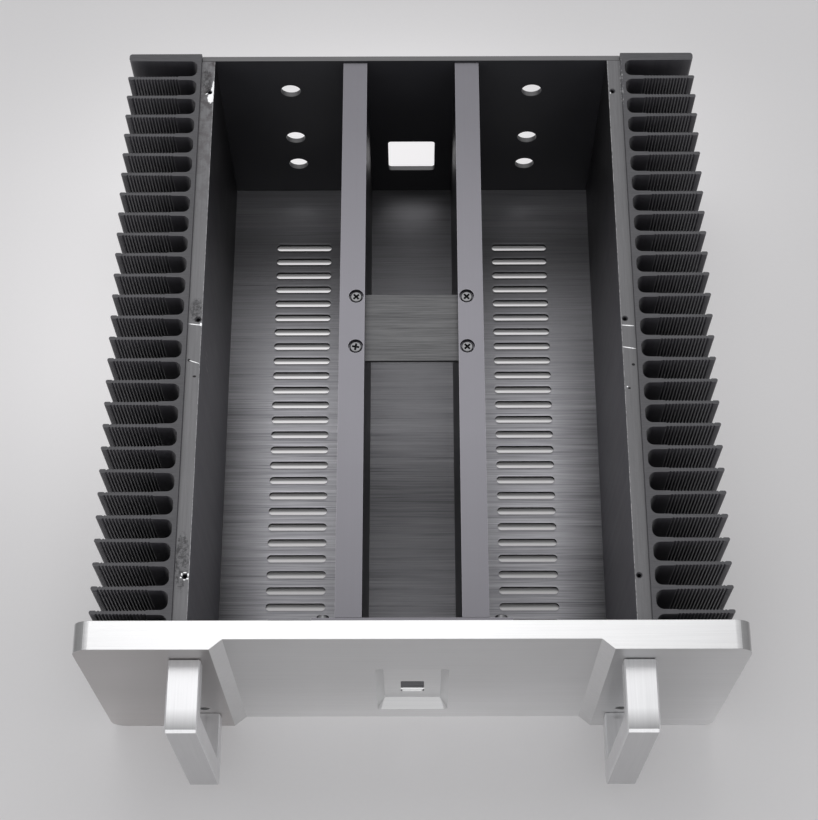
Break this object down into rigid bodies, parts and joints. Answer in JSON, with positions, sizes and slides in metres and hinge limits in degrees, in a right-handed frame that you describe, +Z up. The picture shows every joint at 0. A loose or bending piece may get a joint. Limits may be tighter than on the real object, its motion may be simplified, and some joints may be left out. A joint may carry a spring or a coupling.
{
  "type": "amplifier chassis",
  "caption": "Open amplifier chassis: finned heatsink side walls, thick recessed front panel with C-shaped handles, drilled rear panel, vented bottom plate and inner rails.",
  "frame": {"origin": "middle of the underside's bounding rectangle, on the plane of the underside", "axes": "+Z up; +Y to the rear, along the rails; +X to the right as seen from the front"},
  "size_m": [0.45, 0.52, 0.195],
  "materials": {
    "black_anodised": "black anodised, satin",
    "rear_black": "black anodised sheet, satin",
    "plate_brushed": "black anodised over fine brushing, bright along its vents",
    "cross_plate_brushed": "dark anodised over coarse brushing",
    "rail_grey": "grey anodised extrusion, satin",
    "panel_silver": "silver anodised, fine brushing",
    "handle_silver": "silver anodised, fine brushing",
    "screw_silver": "zinc plated",
    "screw_black": "black oxide"
  },
  "bodies": {
    "root": {"bottom_plate": "plate_brushed", "bottom_screw_1": "screw_black", "bottom_screw_2": "screw_black", "bottom_screw_3": "screw_black", "bottom_screw_4": "screw_black", "bottom_screw_5": "screw_black", "bottom_screw_6": "screw_black", "cross_plate": "cross_plate_brushed", "cross_plate_screw_1": "screw_silver", "cross_plate_screw_2": "screw_silver", "cross_plate_screw_3": "screw_silver", "cross_plate_screw_4": "screw_silver", "front_panel": "panel_silver", "front_stay": "rail_grey", "front_stay_screw_1": "screw_silver", "front_stay_screw_2": "screw_silver", "front_stay_screw_3": "screw_silver", "front_stay_screw_4": "screw_silver", "handle_screw_1": "screw_black", "handle_screw_2": "screw_black", "handle_screw_3": "screw_black", "handle_screw_4": "screw_black", "left_handle": "handle_silver", "left_heatsink": "black_anodised", "left_rail": "rail_grey", "panel_screw_1": "screw_black", "panel_screw_2": "screw_black", "panel_screw_3": "screw_black", "panel_screw_4": "screw_black", "rail_foot_screw_1": "screw_black", "rail_foot_screw_2": "screw_black", "rail_foot_screw_3": "screw_black", "rail_foot_screw_4": "screw_black", "rail_front_screw_1": "screw_black", "rail_front_screw_2": "screw_black", "rail_rear_screw_1": "screw_black", "rail_rear_screw_2": "screw_black", "rear_panel": "rear_black", "rear_panel_screw_1": "screw_black", "rear_panel_screw_2": "screw_black", "rear_panel_screw_3": "screw_black", "rear_panel_screw_4": "screw_black", "rear_panel_screw_5": "screw_black", "rear_panel_screw_6": "screw_black", "right_handle": "handle_silver", "right_heatsink": "black_anodised", "right_rail": "rail_grey"}
  },
  "joints": []
}
